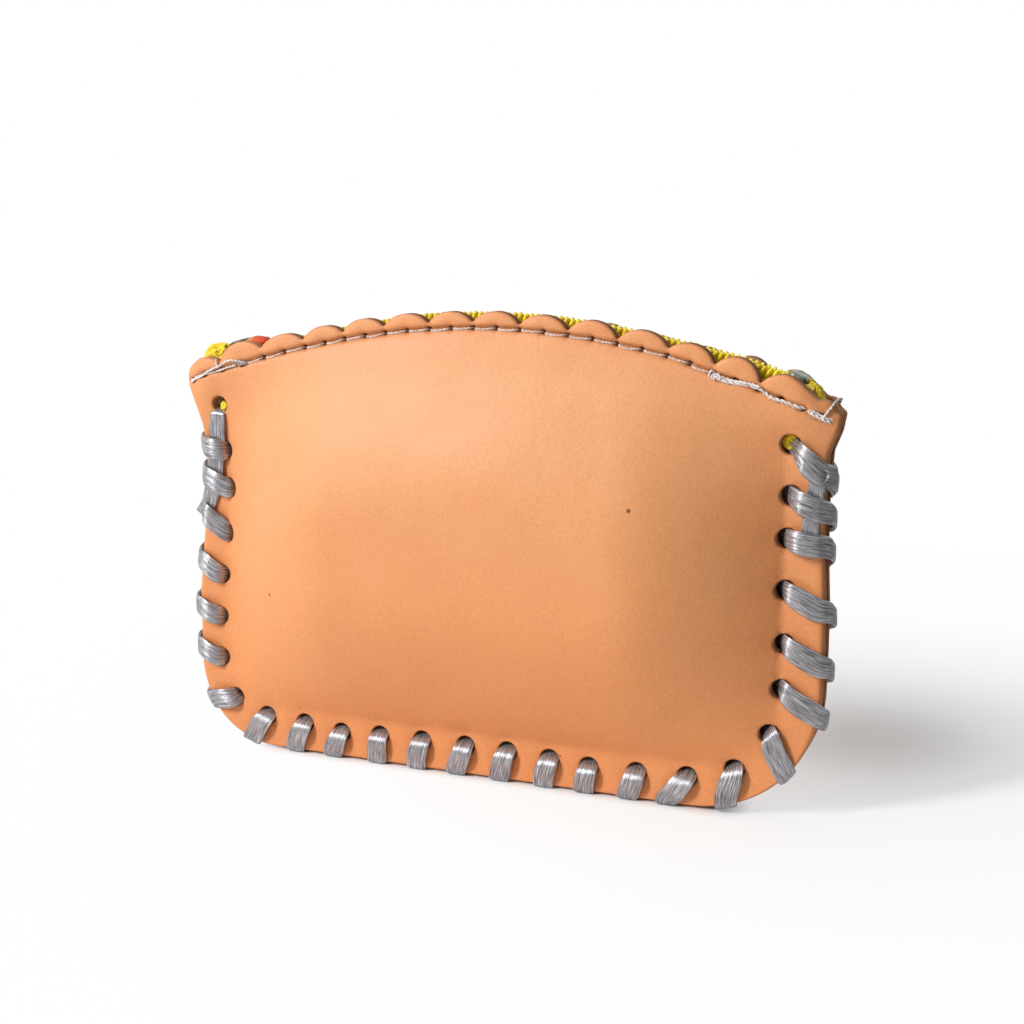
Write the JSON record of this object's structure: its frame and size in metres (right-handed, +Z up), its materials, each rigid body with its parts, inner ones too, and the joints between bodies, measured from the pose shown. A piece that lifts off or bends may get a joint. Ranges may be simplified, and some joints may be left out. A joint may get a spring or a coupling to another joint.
{
  "type": "leather coin purse",
  "caption": "Small padded-out leather coin purse, laced round three sides with a flat silky lace, with a scalloped, curved top edge closed by a zip.",
  "frame": {"origin": "under the middle of the purse, on the surface that its laced bottom edge stands on", "axes": "+X along the width, to the right as seen from the front panel; +Y from the front panel to the back panel; +Z up"},
  "size_m": [0.1009, 0.0244, 0.0687],
  "materials": {
    "tan_leather": "smooth vegetable-tanned grain, matt to satin",
    "silver_lace": "silver-grey satin floss, shiny along its fibres",
    "yellow_zip_cloth": "woven polyester tape",
    "yellow_zip_teeth": "moulded nylon coil",
    "zip_stop_metal": "dull stamped metal",
    "slider_metal": "dull, a little worn",
    "orange_tab_leather": "dyed orange-red",
    "white_thread": "twisted polyester sewing thread"
  },
  "bodies": {
    "purse": {"front_panel": "tan_leather", "back_panel": "tan_leather", "edge_lace": "silver_lace", "zip_tape_front": "yellow_zip_cloth", "zip_tape_back": "yellow_zip_cloth", "zip_coil_front": "yellow_zip_teeth", "zip_coil_back": "yellow_zip_teeth", "zip_bottom_stop": "zip_stop_metal", "seam_thread": "white_thread"},
    "slider": {"zip_slider": "slider_metal"},
    "pull": {"pull_tab": "orange_tab_leather"}
  },
  "joints": [
    {"name": "zip_slider_travel", "type": "hinge", "parent": "purse", "child": "slider", "pos_m": [0, 0, -0.06433], "axis": [0, 1, 0], "range_deg": [0, 34.4]},
    {"name": "pull_tab_swing", "type": "hinge", "parent": "slider", "child": "pull", "pos_m": [-0.0406, 0, 0.06275], "axis": [0, 1, 0], "range_deg": [-165, 0]}
  ]
}
